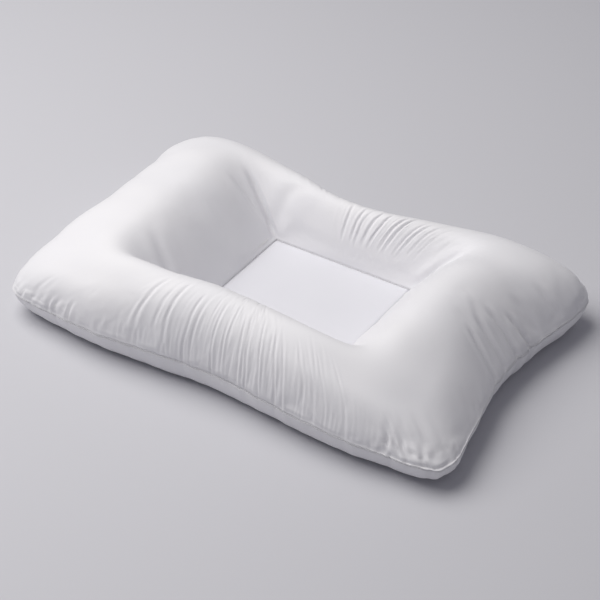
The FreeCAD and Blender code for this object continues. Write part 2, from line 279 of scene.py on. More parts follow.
def fanned_folds():
    """Folds side by side in each fan, at seeded uneven spaces, depths and widths."""
    pick = np.random.default_rng(23)
    folds = []
    for first, last, lean, spread, start, end, count, depth, half_width in FANS:
        uneven = 0.0 if count == 1 else 1.0
        turn_stops = (start, (start + end) / 2, end)
        for number in range(count):
            shift = uneven * pick.uniform(-UNEVEN_PLACE, UNEVEN_PLACE)
            share = (number + 0.5 + shift) / count
            place = first + (last - first) * share
            end_place = place + lean + spread * (share - 0.5)
            bend = uneven * pick.uniform(-UNEVEN_MIDDLE, UNEVEN_MIDDLE)
            middle = (place + end_place) / 2 + bend
            size = depth * (1 + uneven * pick.uniform(-UNEVEN_DEPTH, UNEVEN_DEPTH))
            width = half_width * (1 + uneven * pick.uniform(-UNEVEN_WIDTH, UNEVEN_WIDTH))
            folds.append(((place, middle, end_place), turn_stops, size, width))
    return folds


def pull_seam():
    """Let puckers and the sewing itself make the seam line slightly uneven."""
    step = np.linalg.norm(np.roll(seam_plan, -1, 0) - seam_plan, axis=1)
    length = np.concatenate([[0], np.cumsum(step)[:-1]])
    total = step.sum()
    outward = np.roll(seam_plan, -1, 0) - np.roll(seam_plan, 1, 0)
    outward = np.stack([outward[:, 1], -outward[:, 0]], 1)
    outward /= np.linalg.norm(outward, axis=1, keepdims=True)
    pick = np.random.default_rng(3)
    out = np.zeros(len(seam_plan))
    rise = np.zeros(len(seam_plan))
    for turns_round in SEAM_WAVES:
        size = SEAM_WAVER / turns_round ** 0.5
        turn = 2 * np.pi * turns_round * length / total
        out += size * np.sin(turn + pick.uniform(0, FULL_TURN))
        rise += size * np.sin(turn + pick.uniform(0, FULL_TURN))
    for places, fold_turns, depth, _ in fanned_folds():
        if fold_turns[-1] > 0 or depth < PULLING_DEPTH:
            continue
        centre = np.interp(places[-1], np.append(column_place, 4.0), np.append(length, total))
        pull = bump(length, centre, PULL_REACH)
        out -= pull * (PULL_IN_SHARE * depth - PULL_IN_SLACK) * MM
        rise -= pull * PULL_DOWN_SHARE * depth * MM
    return seam_plan + outward * out[:, None], seam_level + rise


seam_plan, seam_level = pull_seam()

# How far in mm each row of the ring is rounded off where two sides meet, by turn.
ROUNDING_TURNS = (0, 0.06, 0.2, 0.45, 0.6, 0.72, 0.84, 0.94, 1)
ROUNDING = (0, 4, 15, 28, 22, 11, 4, 1, 0)


def round_corners(points, turns):
    """Blend neighbouring sides into each other, as one stretched cloth does."""
    amounts = np.interp(turns, ROUNDING_TURNS, ROUNDING) * MM
    result = points.copy()
    for row, amount in enumerate(amounts):
        if amount <= 0:
            continue
        line = np.vstack([points[:, row], points[:1, row]])
        length = path_lengths(line)
        even = np.linspace(0, length[-1], ROW_SAMPLES, endpoint=False)
        spread = amount * ROW_SAMPLES / length[-1]
        for axis in range(3):
            values = soften_loop(np.interp(even, length, line[:, axis]), spread)
            result[:, row, axis] = np.interp(length[:-1], np.append(even, length[-1]),
                                             np.append(values, values[0]))
    return result


def ring_turns():
    """Rows of the ring, from 0 at the seam to 1 at the cradle, closer near both."""
    even = np.linspace(0, 1, RING_ROWS)
    return even - ROW_CROWDING * np.sin(2 * np.pi * even) / (2 * np.pi)


def leaning(corners, middles):
    """How evenly every column slopes, from the values at corners and middles."""
    middle = np.array([middles[side] for side in SIDES])[column_side]
    corner = between_corners(corners, column_side, column_station)
    return corner * (1 - mid_side) + middle * mid_side


def ring_surface(turns):
    """Smooth cloth over the rolls, before any folds: columns by rows by xyz."""
    rolled = (1 - np.cos(np.pi * turns)) / 2
    inner = leaning(LEAN_CORNER, LEAN_MIDDLE)[:, None]
    outer = leaning(OUTER_LEAN_CORNER, OUTER_LEAN_MIDDLE)[:, None]
    lean = np.where(turns > 0.5, inner, outer)
    blend = (rolled[None] * (1 - lean) + turns[None] * lean)[..., None]
    plan = seam_plan[:, None] * (1 - blend) + cradle_plan[:, None] * blend
    pointed = between_corners(POINTED_CORNER, column_side, column_station)
    power = 1 + pointed * (1 - mid_side) ** 2
    arch = np.sin(np.pi * np.clip(turns, 0, 1))[None, :] ** power[:, None]
    fill = between_corners(INNER_FILL, column_side, column_station)
    fill = fill * (1 - INNER_FILL_LOST * mid_side)
    towards_cradle = smoothstep((turns - INNER_FILL_START) / INNER_FILL_START)
    arch = arch * (1 + fill[:, None] * towards_cradle[None])
    level = seam_level[:, None] * (1 - blend[..., 0]) + CRADLE_LEVEL * blend[..., 0]
    points = np.concatenate([plan, (level + roll_height[:, None] * arch)[..., None]], 2)
    return round_corners(points, turns)


def surface_normals(points):
    """Outward unit normals of a grid that closes on itself round the pillow."""
    around = np.roll(points, -1, 0) - np.roll(points, 1, 0)
    across = np.gradient(points, axis=1)
    normals = np.cross(around, across)
    return normals / (np.linalg.norm(normals, axis=2, keepdims=True) + 1e-12)


def lengths_around(points):
    """Distance along each row from the first column."""
    steps = np.linalg.norm(np.roll(points, -1, 0) - points, axis=2)
    start = np.zeros((1, points.shape[1]))
    return np.concatenate([start, np.cumsum(steps, 0)[:-1]]), steps.sum(0)


def lengths_across(points):
    """Distance along each column from the seam."""
    steps = np.linalg.norm(np.diff(points, axis=1), axis=2)
    return np.concatenate([np.zeros((len(points), 1)), np.cumsum(steps, 1)], 1)


# ---- gathers: short fine folds beside the long ones, in the same places and turns ----

# (first place, last place, lowest turn, highest turn, how many, depth, half width)
GATHERS = [
    (0.40, 0.88, -0.01, 0.26, 60, 0.35, 1.2),
    (0.42, 0.80, 0.06, 0.50, 26, 0.28, 1.4),
    (0.015, 0.17, -0.01, 0.16, 22, 1.5, 1.5),
    (0.02, 0.14, -0.01, 0.28, 7, 0.8, 2.2),
    (0.16, 0.42, -0.01, 0.16, 30, 0.4, 1.3),
    (0.86, 1.08, -0.01, 0.16, 22, 1.6, 1.9),
    (0.88, 1.02, -0.01, 0.30, 6, 1.1, 3.0),
    (1.12, 1.95, -0.01, 0.09, 22, 0.6, 2.4),
    (2.08, 2.56, 0.34, 0.84, 26, 0.35, 1.4),
    (2.06, 2.94, -0.01, 0.22, 50, 0.7, 1.8),
    (2.30, 2.70, 0.06, 0.50, 18, 0.6, 2.0),
    (1.90, 2.06, -0.01, 0.15, 14, 1.0, 1.9),
    (2.94, 3.06, -0.01, 0.14, 9, 1.0, 2.2),
    (3.06, 3.94, -0.01, 0.10, 26, 0.6, 2.2),
    (3.94, 4.00, -0.01, 0.12, 5, 0.9, 2.0),
]
# (first place, last place, above this turn, place of an upright gather, lean)
GATHER_LEANS = [(0.4, 0.9, -1, 0.4, 0.25), (2.0, 2.6, 0.3, 2.45, 0.7)]
FOLD_FADE = 0.3


def fold_profile(distance, half_width):
    """Cross-section of a fold: a narrow valley with a softer ridge beside it."""
    valley = -np.exp(-(distance / half_width) ** 2)
    ridge = 0.55 * np.exp(-((distance - 1.9 * half_width) / (1.3 * half_width)) ** 2)
    far_ridge = 0.3 * np.exp(-((distance + 1.9 * half_width) / (1.4 * half_width)) ** 2)
    return valley + ridge + far_ridge


def fold_height(fold, turns, around, whole):
    """Height that one fold adds to every point of the ring."""
    places, fold_turns, depth, half_width = fold
    order = np.argsort(fold_turns)
    low, high = min(fold_turns), max(fold_turns)
    place = np.interp(turns, np.array(fold_turns)[order], np.array(places)[order])
    closed_place = np.append(column_place, 4.0)
    height = np.zeros_like(around)
    fade = FOLD_FADE * (high - low)
    strength = 1 - smoothstep((turns - high + fade) / fade)
    if low > 0:
        strength = smoothstep((turns - low) / fade) * strength
    for row in range(len(turns)):
        if strength[row] <= 0:
            continue
        lengths = np.append(around[:, row], whole[row])
        centre = np.interp(place[row] % 4, closed_place, lengths)
        distance = around[:, row] - centre
        distance = (distance + whole[row] / 2) % whole[row] - whole[row] / 2
        profile = fold_profile(distance, half_width * MM)
        height[:, row] = strength[row] * depth * MM * profile
    return height


def gather_lean(place, low):
    """How far a gather leans per turn: more, the further it lies from an upright one."""
    for first, last, above, upright, lean in GATHER_LEANS:
        if first < place < last and low > above:
            return lean * (place - upright)
    return 0.0


def gathered_folds():
    """Short folds of seeded random place and length that fill each gathered stretch."""
    pick = np.random.default_rng(11)
    folds = []
    for first, last, low, high, count, depth, half_width in GATHERS:
        for number in range(count):
            place = first + (last - first) * (number + pick.uniform(0.1, 0.9)) / count
            reach = (high - low) * pick.uniform(0.45, 1.0)
            start = low if low < 0 else low + (high - low - reach) * pick.uniform(0, 1)
            lean = pick.uniform(-0.006, 0.006) + gather_lean(place, low) * reach
            size = depth * pick.uniform(0.35, 1.1)
            width = half_width * pick.uniform(0.75, 1.35)
            folds.append(((place, place + lean), (start, start + reach), size, width))
    return folds


FIBRE_WAVES = (150 * MM, 110 * MM, 80 * MM, 60 * MM, 45 * MM, 70 * MM)
FIBRE_SWELL = 0.0042  # height of a wave, as a share of its length
BEAD_WIDTH = 1.0 * MM
TROUGH_PLACE = 3.5 * MM
TROUGH_WIDTH = 2.2 * MM


def uneven_fill(points):
    """Slow swells and hollows left by the fibre, from a few seeded sine waves."""
    pick = np.random.default_rng(5)
    total = np.zeros(points.shape[:2])
    for wave in FIBRE_WAVES:
        heading = pick.normal(size=3)
        heading /= np.linalg.norm(heading)
        phase = pick.uniform(0, 2 * np.pi)
        total += wave * np.sin(2 * np.pi * (points @ heading) / wave + phase)
    return total * FIBRE_SWELL


def seam_bead(across, height, depth):
    """Raised edge at the seam, and the shallow trough that the stitches pull beside it."""
    bead = height * np.exp(-(across / BEAD_WIDTH) ** 2)
    return bead - depth * np.exp(-((across - TROUGH_PLACE) / TROUGH_WIDTH) ** 2)


def folded_ring(turns):
    """Ring surface with its fill, folds and gathers and the seam's bead; and the folds alone."""
    smooth = ring_surface(turns)
    normals = surface_normals(smooth)
    around, whole = lengths_around(smooth)
    across = lengths_across(smooth)
    from_cradle = across[:, -1:] - across
    free = smoothstep(across / (14 * MM)) * smoothstep(from_cradle / (18 * MM))
    height = uneven_fill(smooth) * free
    rumple = np.zeros_like(height)
    for fold in fanned_folds() + gathered_folds():
        rumple += fold_height(fold, turns, around, whole)
    rumple *= smoothstep(from_cradle / (10 * MM))
    rumple *= 0.25 + 0.75 * smoothstep(across / (5 * MM))
    bead = seam_bead(across, 0.45 * MM, 0.35 * MM)
    return smooth + normals * (height + rumple + bead)[..., None], rumple


# ---- meshes ----

def mesh_piece(name, points, faces, uvs=None):
    """Object from points and faces, with an optional uv for each point."""
    mesh = bpy.data.meshes.new(name)
    mesh.from_pydata([tuple(point) for point in points], [], faces)
    if uvs is not None:
        layer = mesh.uv_layers.new(name="cloth")
        index = np.zeros(len(mesh.loops), dtype=np.int32)
        mesh.loops.foreach_get("vertex_index", index)
        layer.data.foreach_set("uv", np.asarray(uvs, dtype=np.float32)[index].ravel())
    mesh.validate()
    piece = bpy.data.objects.new(name, mesh)
    bpy.context.collection.objects.link(piece)
    for polygon in mesh.polygons:
        polygon.use_smooth = True
    return piece


def ring_faces(columns, rows, flip=False):
    """Quads of a grid that closes on itself round the pillow."""
    faces = []
    for column in range(columns):
        after = (column + 1) % columns
        for row in range(rows - 1):
            quad = (column * rows + row, after * rows + row,
                    after * rows + row + 1, column * rows + row + 1)
            faces.append(quad[::-1] if flip else quad)
    return faces


def apply_modifier(piece, kind, **settings):
    """Add a modifier, set it up and apply it."""
    deselect_all()
    piece.select_set(True)
    bpy.context.view_layer.objects.active = piece
    modifier = piece.modifiers.new(kind.title(), kind)
    for word, value in settings.items():
        setattr(modifier, word, value)
    bpy.ops.object.modifier_apply(modifier=modifier.name)


# ---- cloth simulation: the cloth is larger than the rolls it covers, so it buckles ----

SIM_FRAMES = 20
SIM_EVERY = 2  # the simulated cloth has one column for this many of the ring's
SIM_SMOOTHING = 14  # slower swells than this many averagings keep are left out
BUCKLE_LIMIT = 1.7 * MM
SPARE_CLOTH = 0.06
CLOTH_SETTINGS = {
    "shrink_min": -SPARE_CLOTH,
    "quality": 6,
    "mass": 0.2,
    "tension_stiffness": 25,
    "compression_stiffness": 25,
    "shear_stiffness": 8,
    "bending_stiffness": 0.005,
    "air_damping": 3,
    "use_pressure": True,
    "uniform_pressure_force": 1.0,
}


def smooth_grid(values, passes):
    """Repeated averaging over neighbours of a grid that closes round the pillow."""
    for _ in range(passes):
        values = (np.roll(values, 1, 0) + 2 * values + np.roll(values, -1, 0)) / 4
        padded = np.pad(values, ((0, 0), (1, 1)), mode="edge")
        values = (padded[:, :-2] + 2 * values + padded[:, 2:]) / 4
    return values


def cloth_trial(points):
    """A coarse copy of the ring as simulated cloth, held at the seam and the cradle."""
    columns, rows = points.shape[:2]
    mesh = bpy.data.meshes.new("cloth_trial")
    mesh.from_pydata(points.reshape(-1, 3).tolist(), [], ring_faces(columns, rows))
    trial = bpy.data.objects.new("cloth_trial", mesh)
    bpy.context.collection.objects.link(trial)
    held = trial.vertex_groups.new(name="held")
    row_number = np.tile(np.arange(rows), columns)
    edges = np.flatnonzero((row_number < 1) | (row_number >= rows - 2))
    held.add(edges.tolist(), 1.0, "REPLACE")
    cloth = trial.modifiers.new("Cloth", "CLOTH")
    cloth.settings.vertex_group_mass = "held"
    for word, value in CLOTH_SETTINGS.items():
        setattr(cloth.settings, word, value)
    cloth.settings.effector_weights.gravity = 0
    cloth.point_cache.frame_start = 1
    cloth.point_cache.frame_end = SIM_FRAMES
    return trial


def simulated_buckles(points, normals):
    """Height of the buckles that a pressed, over-long cloth takes, on every grid point."""
    trial = cloth_trial(points)
    scene = bpy.context.scene
    for frame_number in range(1, SIM_FRAMES + 1):
        scene.frame_set(frame_number)
    solved = trial.evaluated_get(bpy.context.evaluated_depsgraph_get())
    moved = np.zeros(points.size, dtype=np.float32)
    solved.data.vertices.foreach_get("co", moved)
    moved = moved.reshape(points.shape).astype(float)
    scene.frame_set(1)
    bpy.data.objects.remove(trial)
    height = ((moved - points) * normals).sum(2)
    return height - smooth_grid(height, SIM_SMOOTHING)


def buckled(points, turns):
    """Add the simulated buckles, held under the limit and faded at the edges."""
    normals = surface_normals(points)
    height = simulated_buckles(points[::SIM_EVERY], normals[::SIM_EVERY])
    between = (height + np.roll(height, -1, 0)) / 2
    full = np.zeros(points.shape[:2])
    full[::SIM_EVERY] = height
    full[1::SIM_EVERY] = between[:len(full[1::SIM_EVERY])]
    across = lengths_across(points)
    edge = smoothstep(across / (8 * MM)) * smoothstep((across[:, -1:] - across) / (14 * MM))
    full = BUCKLE_LIMIT * np.tanh(full * edge * slackness(turns) / BUCKLE_LIMIT)
    return points + normals * full[..., None]


# (place, reach, share) where the cover is slack; elsewhere fibre presses it smooth
SLACK_STRETCHES = [
    (0.60, 0.22, 0.36),
    (2.33, 0.20, 0.28),
    (0.30, 0.14, 0.15),
    (1.52, 0.16, 0.30),
    (2.75, 0.15, 0.08),
    (3.50, 0.20, 0.08),
]
SLACK_CORNERS = [(0.06, 0.1, 0.4), (0.97, 0.08, 0.6), (1.97, 0.08, 0.45), (3.0, 0.06, 0.35)]
SLACK_ANYWHERE = 0.05
SLACK_AT_SEAM = 0.12
SEAM_TURNS = 0.18


def slackness(turns):
    """Share of the simulated buckles kept at each point of the ring."""
    share = np.full((len(column_place), len(turns)), SLACK_ANYWHERE)
    for place, reach, amount in SLACK_STRETCHES:
        share += (amount * bump(column_place, place, reach))[:, None]
    near_seam = np.exp(-(turns / SEAM_TURNS) ** 2)
    for place, reach, amount in SLACK_CORNERS:
        away = (column_place - place + 2) % 4 - 2
        share += (amount * bump(away, 0, reach))[:, None] * near_seam[None]
    return share + SLACK_AT_SEAM * near_seam[None]


turns = ring_turns()
ring_points, ring_rumple = folded_ring(turns)
ring_points = buckled(ring_points, turns)


# ---- the underside's shape ----

LEANING = 0.12  # how straight the underside's wall runs from the seam to the floor
CARRIED_ROW = 4  # row of the ring whose folds run on below the seam
CARRIED_SHARE = 0.8


def dish_surface():
    """Underside from the seam down to the floor, then level rows towards the middle."""
    angle = np.linspace(0, 1, DISH_ROWS) * np.pi / 2
    reach = np.array([CUT_RIGHT, CUT_BACK])
    shrink = 1 - FLOOR_INSET / np.abs(reach)
    inward = (LEANING * angle / (np.pi / 2) + (1 - LEANING) * (1 - np.cos(angle)))[None, :, None]
    plan = seam_plan[:, None] * (1 - inward) + (seam_plan * shrink)[:, None] * inward
    sunk = LEANING * angle / (np.pi / 2) + (1 - LEANING) * np.sin(angle)
    level = seam_level[:, None] * (1 - sunk)[None]
    return np.concatenate([plan, level[..., None]], 2)


def folded_dish():
    """Underside's wall: a bead along the seam and the ends of the folds that cross it."""
    smooth = dish_surface()
    normals = -surface_normals(smooth)
    across = lengths_across(smooth)
    bead = seam_bead(across, 0.3 * MM, 0.3 * MM)
    folds = ring_rumple[:, CARRIED_ROW:CARRIED_ROW + 1]
    carried = folds * CARRIED_SHARE * np.exp(-across / (9 * MM))
    carried *= smoothstep(across / (3 * MM))
    lumps = 0.6 * uneven_fill(smooth) * smoothstep(across / (14 * MM))
    lumps *= smoothstep(smooth[..., 2] / (8 * MM))
    return smooth + normals * (bead + carried + lumps)[..., None]


# ---- materials ----

def srgb(code):
    """Linear colour from an sRGB hex value."""
    values = [int(code[start:start + 2], 16) / 255 for start in (1, 3, 5)]
    return tuple(v / 12.92 if v <= 0.04045 else ((v + 0.055) / 1.055) ** 2.4
                 for v in values) + (1.0,)


def add_node(material, kind, settings=None, links=None):
    """Add a node; settings are sockets or properties by name, links are socket from output."""
    tree = material.node_tree
    node = tree.nodes.new(kind)
    for word, value in (settings or {}).items():
        if word in node.inputs:
            node.inputs[word].default_value = value
        else:
            setattr(node, word, value)
    for socket, source in (links or {}).items():
        tree.links.new(source, node.inputs[socket])
    return node


def new_material(name):
    material = bpy.data.materials.new(name)
    material.use_nodes = True
    material.node_tree.nodes.clear()
    return material


def finish_material(material, shader):
    output = add_node(material, "ShaderNodeOutputMaterial")
    material.node_tree.links.new(shader.outputs[0], output.inputs["Surface"])
    return material


# Sockets of a Mix node that mixes colours: its two colours and its result.
MIX_FIRST, MIX_SECOND, MIX_RESULT = 6, 7, 2
# Yarns lie 0.25 mm apart; they are drawn 1 mm apart so that they show at all.
YARN_PITCH = 1.0 * MM
BANDS_ONE_APART = 0.314  # a Wave texture's Scale that puts its bands one unit apart


def percale_cotton(name, darker, lighter):
    """White combed-cotton percale, plain woven and calendered: a soft, faintly silky white."""
    material = new_material(name)
    uv = add_node(material, "ShaderNodeUVMap", {"uv_map": "cloth"})
    place = add_node(material, "ShaderNodeTexCoord")
    cloud = add_node(material, "ShaderNodeTexNoise", {"Scale": 9.0, "Detail": 3.0},
                     {"Vector": place.outputs["Object"]})
    tint = add_node(material, "ShaderNodeMix", {"data_type": "RGBA"},
                    {"Factor": cloud.outputs["Fac"]})
    tint.inputs[MIX_FIRST].default_value = srgb(darker)
    tint.inputs[MIX_SECOND].default_value = srgb(lighter)
    shader = add_node(material, "ShaderNodeBsdfPrincipled",
                      {"Roughness": 0.62, "Sheen Weight": 0.18, "Sheen Roughness": 0.45,
                       "Specular IOR Level": 0.35},
                      {"Base Color": tint.outputs[MIX_RESULT]})
    scale = 1 / YARN_PITCH
    spread = add_node(material, "ShaderNodeMapping", {"Scale": (scale, scale, scale)},
                      {"Vector": uv.outputs[0]})
    warp = add_node(material, "ShaderNodeTexWave",
                    {"bands_direction": "X", "Scale": BANDS_ONE_APART},
                    {"Vector": spread.outputs[0]})
    weft = add_node(material, "ShaderNodeTexWave",
                    {"bands_direction": "Y", "Scale": BANDS_ONE_APART},
                    {"Vector": spread.outputs[0]})
    weave = add_node(material, "ShaderNodeMath", {"operation": "MULTIPLY"})
    material.node_tree.links.new(warp.outputs["Fac"], weave.inputs[0])
    material.node_tree.links.new(weft.outputs["Fac"], weave.inputs[1])
    fine = add_node(material, "ShaderNodeBump", {"Strength": 0.12, "Distance": 0.0001},
                    {"Height": weave.outputs[0]})
    crinkle = add_node(material, "ShaderNodeTexNoise", {"Scale": 120.0, "Detail": 2.0},
                       {"Vector": place.outputs["Object"]})
    soft = add_node(material, "ShaderNodeBump", {"Strength": 0.12, "Distance": 0.0006},
                    {"Height": crinkle.outputs["Fac"], "Normal": fine.outputs[0]})
    material.node_tree.links.new(soft.outputs[0], shader.inputs["Normal"])
    return finish_material(material, shader)


def spun_thread():
    """White spun-polyester sewing thread: matt, twisted, a little brighter than the cloth."""
    material = new_material("white_spun_polyester_thread")
    place = add_node(material, "ShaderNodeTexCoord")
    twist = add_node(material, "ShaderNodeTexWave", {"Scale": 800.0, "Distortion": 1.0},
                     {"Vector": place.outputs["Object"]})
    bumped = add_node(material, "ShaderNodeBump", {"Strength": 0.3, "Distance": 0.0001},
                      {"Height": twist.outputs["Fac"]})
    shader = add_node(material, "ShaderNodeBsdfPrincipled",
                      {"Base Color": srgb("#F7F7F8"), "Roughness": 0.55, "Sheen Weight": 0.1},
                      {"Normal": bumped.outputs[0]})
    return finish_material(material, shader)


def nonwoven_lining():
    """White spun-bonded polypropylene: bonded filaments with a faint embossed point pattern."""
    material = new_material("white_spunbond_nonwoven")
    place = add_node(material, "ShaderNodeTexCoord")
    points = add_node(material, "ShaderNodeTexVoronoi", {"Scale": 900.0},
                      {"Vector": place.outputs["Object"]})
    bumped = add_node(material, "ShaderNodeBump", {"Strength": 0.25, "Distance": 0.0001},
                      {"Height": points.outputs["Distance"]})
    shader = add_node(material, "ShaderNodeBsdfPrincipled",
                      {"Base Color": srgb("#EFF0F2"), "Roughness": 0.7},
                      {"Normal": bumped.outputs[0]})
    return finish_material(material, shader)


def polyester_fibre():
    """Carded hollow polyester fibre: soft matt white tufts."""
    material = new_material("white_carded_polyester_fibre")
    place = add_node(material, "ShaderNodeTexCoord")
    tufts = add_node(material, "ShaderNodeTexNoise",
                     {"Scale": 260.0, "Detail": 6.0, "Roughness": 0.7, "Distortion": 1.5},
                     {"Vector": place.outputs["Object"]})
    bumped = add_node(material, "ShaderNodeBump", {"Strength": 0.8, "Distance": 0.001},
                      {"Height": tufts.outputs["Fac"]})
    shader = add_node(material, "ShaderNodeBsdfPrincipled",
                      {"Base Color": srgb("#F5F5F5"), "Roughness": 0.9, "Sheen Weight": 0.4},
                      {"Normal": bumped.outputs[0]})
    return finish_material(material, shader)


def floor_paint():
    """Matt pale grey studio floor."""
    material = new_material("matt_pale_grey_studio_floor")
    shader = add_node(material, "ShaderNodeBsdfPrincipled",
                      {"Base Color": srgb("#C9C9CE"), "Roughness": 0.9})
    return finish_material(material, shader)


percale = percale_cotton("white_cotton_percale_plain_woven", "#E7E7EB", "#ECEBED")
# The flat cradle panel gets a cooler, darker copy of the same white percale: painted shade for
# its recess among the rolls.
cradle_percale_painted_shade = percale_cotton("white_cotton_percale_painted_recess_shade", "#DCDCE2", "#E0E0E5")
thread_finish = spun_thread()
nonwoven = nonwoven_lining()
fibre = polyester_fibre()


def dress(piece, material):
    piece.data.materials.clear()
    piece.data.materials.append(material)
    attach(piece, BODY)


# ---- cover panels ----

# Rows of seam allowance behind an edge, as shares of the allowance.
ALLOWANCE_STEPS = (1.0, 0.55, 0.2, 0.06)
SEAM_GAP = 0.12 * MM


def turned_in(edge, direction, down):
    """Rows of seam allowance behind an edge: out of sight first, then to the edge."""
    rows = [edge + direction * ALLOWANCE * step + down * CLOTH * min(1, 4 * step)
            for step in ALLOWANCE_STEPS]
    return np.stack(rows, 1)


def inward_from(edge):
    """Level unit directions from an edge to the pillow's middle."""
    inward = -np.concatenate([edge[:, :2], np.zeros((len(edge), 1))], 1)
    return inward / np.linalg.norm(inward, axis=1, keepdims=True)


def sheet_uvs(grid):
    """Cloth coordinates in metres: along the seam's row, and across from it."""
    edge = len(ALLOWANCE_STEPS)
    around, _ = lengths_around(grid)
    along = np.repeat(around[:, edge:edge + 1], grid.shape[1], 1)
    return np.stack([along, lengths_across(grid)], 2).reshape(-1, 2)


def square_rim(count):
    """Numbers of the points round the edge of a square grid, in order."""
    rim = list(range(count))
    rim += [row * count + count - 1 for row in range(1, count)]
    rim += [(count - 1) * count + column for column in range(count - 2, -1, -1)]
    rim += [row * count for row in range(count - 2, 0, -1)]
    return rim


def make_top_ring():
    """The upper panel of the cover, from the perimeter seam over the rolls to the cradle."""
    edge = ring_points[:, 0]
    up = np.array([0, 0, 1.0])
    behind_seam = turned_in(edge, inward_from(edge), up)
    below_cradle = turned_in(ring_points[:, -1], -up, np.zeros(3))[:, ::-1]
    grid = np.concatenate([behind_seam, ring_points, below_cradle], 1)
    columns, rows = grid.shape[:2]
    piece = mesh_piece("top_ring_cover", grid.reshape(-1, 3), ring_faces(columns, rows),
                       sheet_uvs(grid))
    apply_modifier(piece, "SOLIDIFY", thickness=CLOTH, offset=-1)
    dress(piece, percale)
    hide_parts("top_ring_panel")
    return piece


CRADLE_MIDDLE = ((CRADLE_LEFT + CRADLE_RIGHT) / 2, (CRADLE_FRONT + CRADLE_BACK) / 2)
FLOOR_GAP = 0.15 * MM
# Rows of the flat underside: up to 1 they go to the line where the inner walls are sewn on,
# beyond 1 to the middle.
FLOOR_ROWS = (0.15, 0.3, 0.45, 0.6, 0.72, 0.82, 0.89, 0.94, 0.97, 0.985, 1.0,
              1.015, 1.03, 1.06, 1.11, 1.18, 1.3, 1.5, 1.75)
GROOVE = 1.3 * MM
GROOVE_WIDTH = 3.5 * MM


def bottom_floor(foot):
    """Flat underside, with a shallow groove where the inner walls are sewn to it."""
    middle = np.array(CRADLE_MIDDLE)
    rows = []
    for step in FLOOR_ROWS:
        if step <= 1:
            plan = foot[:, :2] * (1 - step) + cradle_plan * step
        else:
            plan = middle + (cradle_plan - middle) * (2 - step)
        away = np.linalg.norm(plan - cradle_plan, axis=1)
        groove = GROOVE * np.exp(-(away / GROOVE_WIDTH) ** 2)
        edge_rise = (foot[:, 2] - FLOOR_GAP) * max(0, 1 - 3 * step)
        rows.append(np.column_stack([plan, FLOOR_GAP + edge_rise + groove]))
    return np.stack(rows, 1)


def make_bottom():
    """The underside of the cover, dished up to the perimeter seam."""
    wall = folded_dish()
    wall[:, 0] = ring_points[:, 0] - np.array([0, 0, SEAM_GAP])
    wall[:, 1:, 2] = np.maximum(wall[:, 1:, 2], FLOOR_GAP)
    edge = wall[:, 0]
    behind_seam = turned_in(edge, inward_from(edge), np.array([0, 0, -1.0]))
    grid = np.concatenate([behind_seam, wall, bottom_floor(wall[:, -1])], 1)
    columns, rows = grid.shape[:2]
    points = grid.reshape(-1, 3)
    uvs = sheet_uvs(grid)
    is_floor = np.tile(np.arange(rows) >= rows - len(FLOOR_ROWS), columns)
    uvs = np.where(is_floor[:, None], points[:, :2], uvs)
    points = np.vstack([points, [(*CRADLE_MIDDLE, FLOOR_GAP)]])
    uvs = np.vstack([uvs, [CRADLE_MIDDLE]])
    faces = ring_faces(columns, rows, flip=True)
    last = len(points) - 1
    for column in range(columns):
        after = (column + 1) % columns
        faces.append((after * rows + rows - 1, column * rows + rows - 1, last))
    piece = mesh_piece("bottom_cover", points, faces, uvs)
    apply_modifier(piece, "SOLIDIFY", thickness=CLOTH, offset=-1)
    dress(piece, percale)
    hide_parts("bottom_panel")
    return piece


PANEL_COUNT = 64
PANEL_CROWDING = 0.25
PANEL_PLAY = 0.25 * MM
PANEL_SINK = 1.6 * MM
CROWN = 2.2 * MM
CROWN_REACH = 7 * MM
RIPPLE = 0.35 * MM
RIPPLE_REACH = 12 * MM


def cradle_level(x, y, nearest):
    """Height of the cradle panel at a point that lies so far from its nearest edge."""
    crown = CROWN * (1 - math.exp(-nearest / CROWN_REACH))
    ripple = RIPPLE * math.sin(x / (17 * MM)) * math.sin(y / (23 * MM) + 1)
    return CRADLE_LEVEL - PANEL_SINK + crown + ripple * min(1, nearest / RIPPLE_REACH)


def cradle_panel_grid():
    """Points and cloth coordinates of the cradle panel, closer together near its edges."""
    edge = np.linspace(-1, 1, PANEL_COUNT)
    crowd = edge * (1 - PANEL_CROWDING * (1 - edge ** 2))
    half_x = (CRADLE_RIGHT - CRADLE_LEFT) / 2 - PANEL_PLAY
    half_y = (CRADLE_BACK - CRADLE_FRONT) / 2 - PANEL_PLAY
    points, uvs = [], []
    for row in crowd:
        for column in crowd:
            x = CRADLE_MIDDLE[0] + half_x * column
            y = CRADLE_MIDDLE[1] + half_y * row
            nearest = min(half_x * (1 - abs(column)), half_y * (1 - abs(row)))
            points.append((x, y, cradle_level(x, y, nearest)))
            uvs.append((x, y))
    return points, uvs


def make_cradle_cover():
    """The flat panel at the bottom of the cradle, a little crowned, its edges turned down."""
    count = PANEL_COUNT
    points, uvs = cradle_panel_grid()
    faces = []
    for row in range(count - 1):
        for column in range(count - 1):
            one = row * count + column
            faces.append((one, one + 1, one + count + 1, one + count))
    rim = square_rim(count)
    before = rim
    for drop in (1.2 * MM, 3 * MM):
        start = len(points)
        for index in rim:
            x, y, _ = points[index]
            points.append((x, y, CRADLE_LEVEL - PANEL_SINK - drop))
            uvs.append((x, y + drop))
        ring = list(range(start, start + len(rim)))
        for index in range(len(rim)):
            after = (index + 1) % len(rim)
            faces.append((before[index], ring[index], ring[after], before[after]))
        before = ring
    piece = mesh_piece("cradle_cover", points, faces, uvs)
    apply_modifier(piece, "SOLIDIFY", thickness=CLOTH, offset=-1)
    # Dressed in the darker, cooler copy of the percale, which is painted shade for the recess.
    dress(piece, cradle_percale_painted_shade)
    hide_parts("cradle_panel")
    return piece


# ---- stitching ----

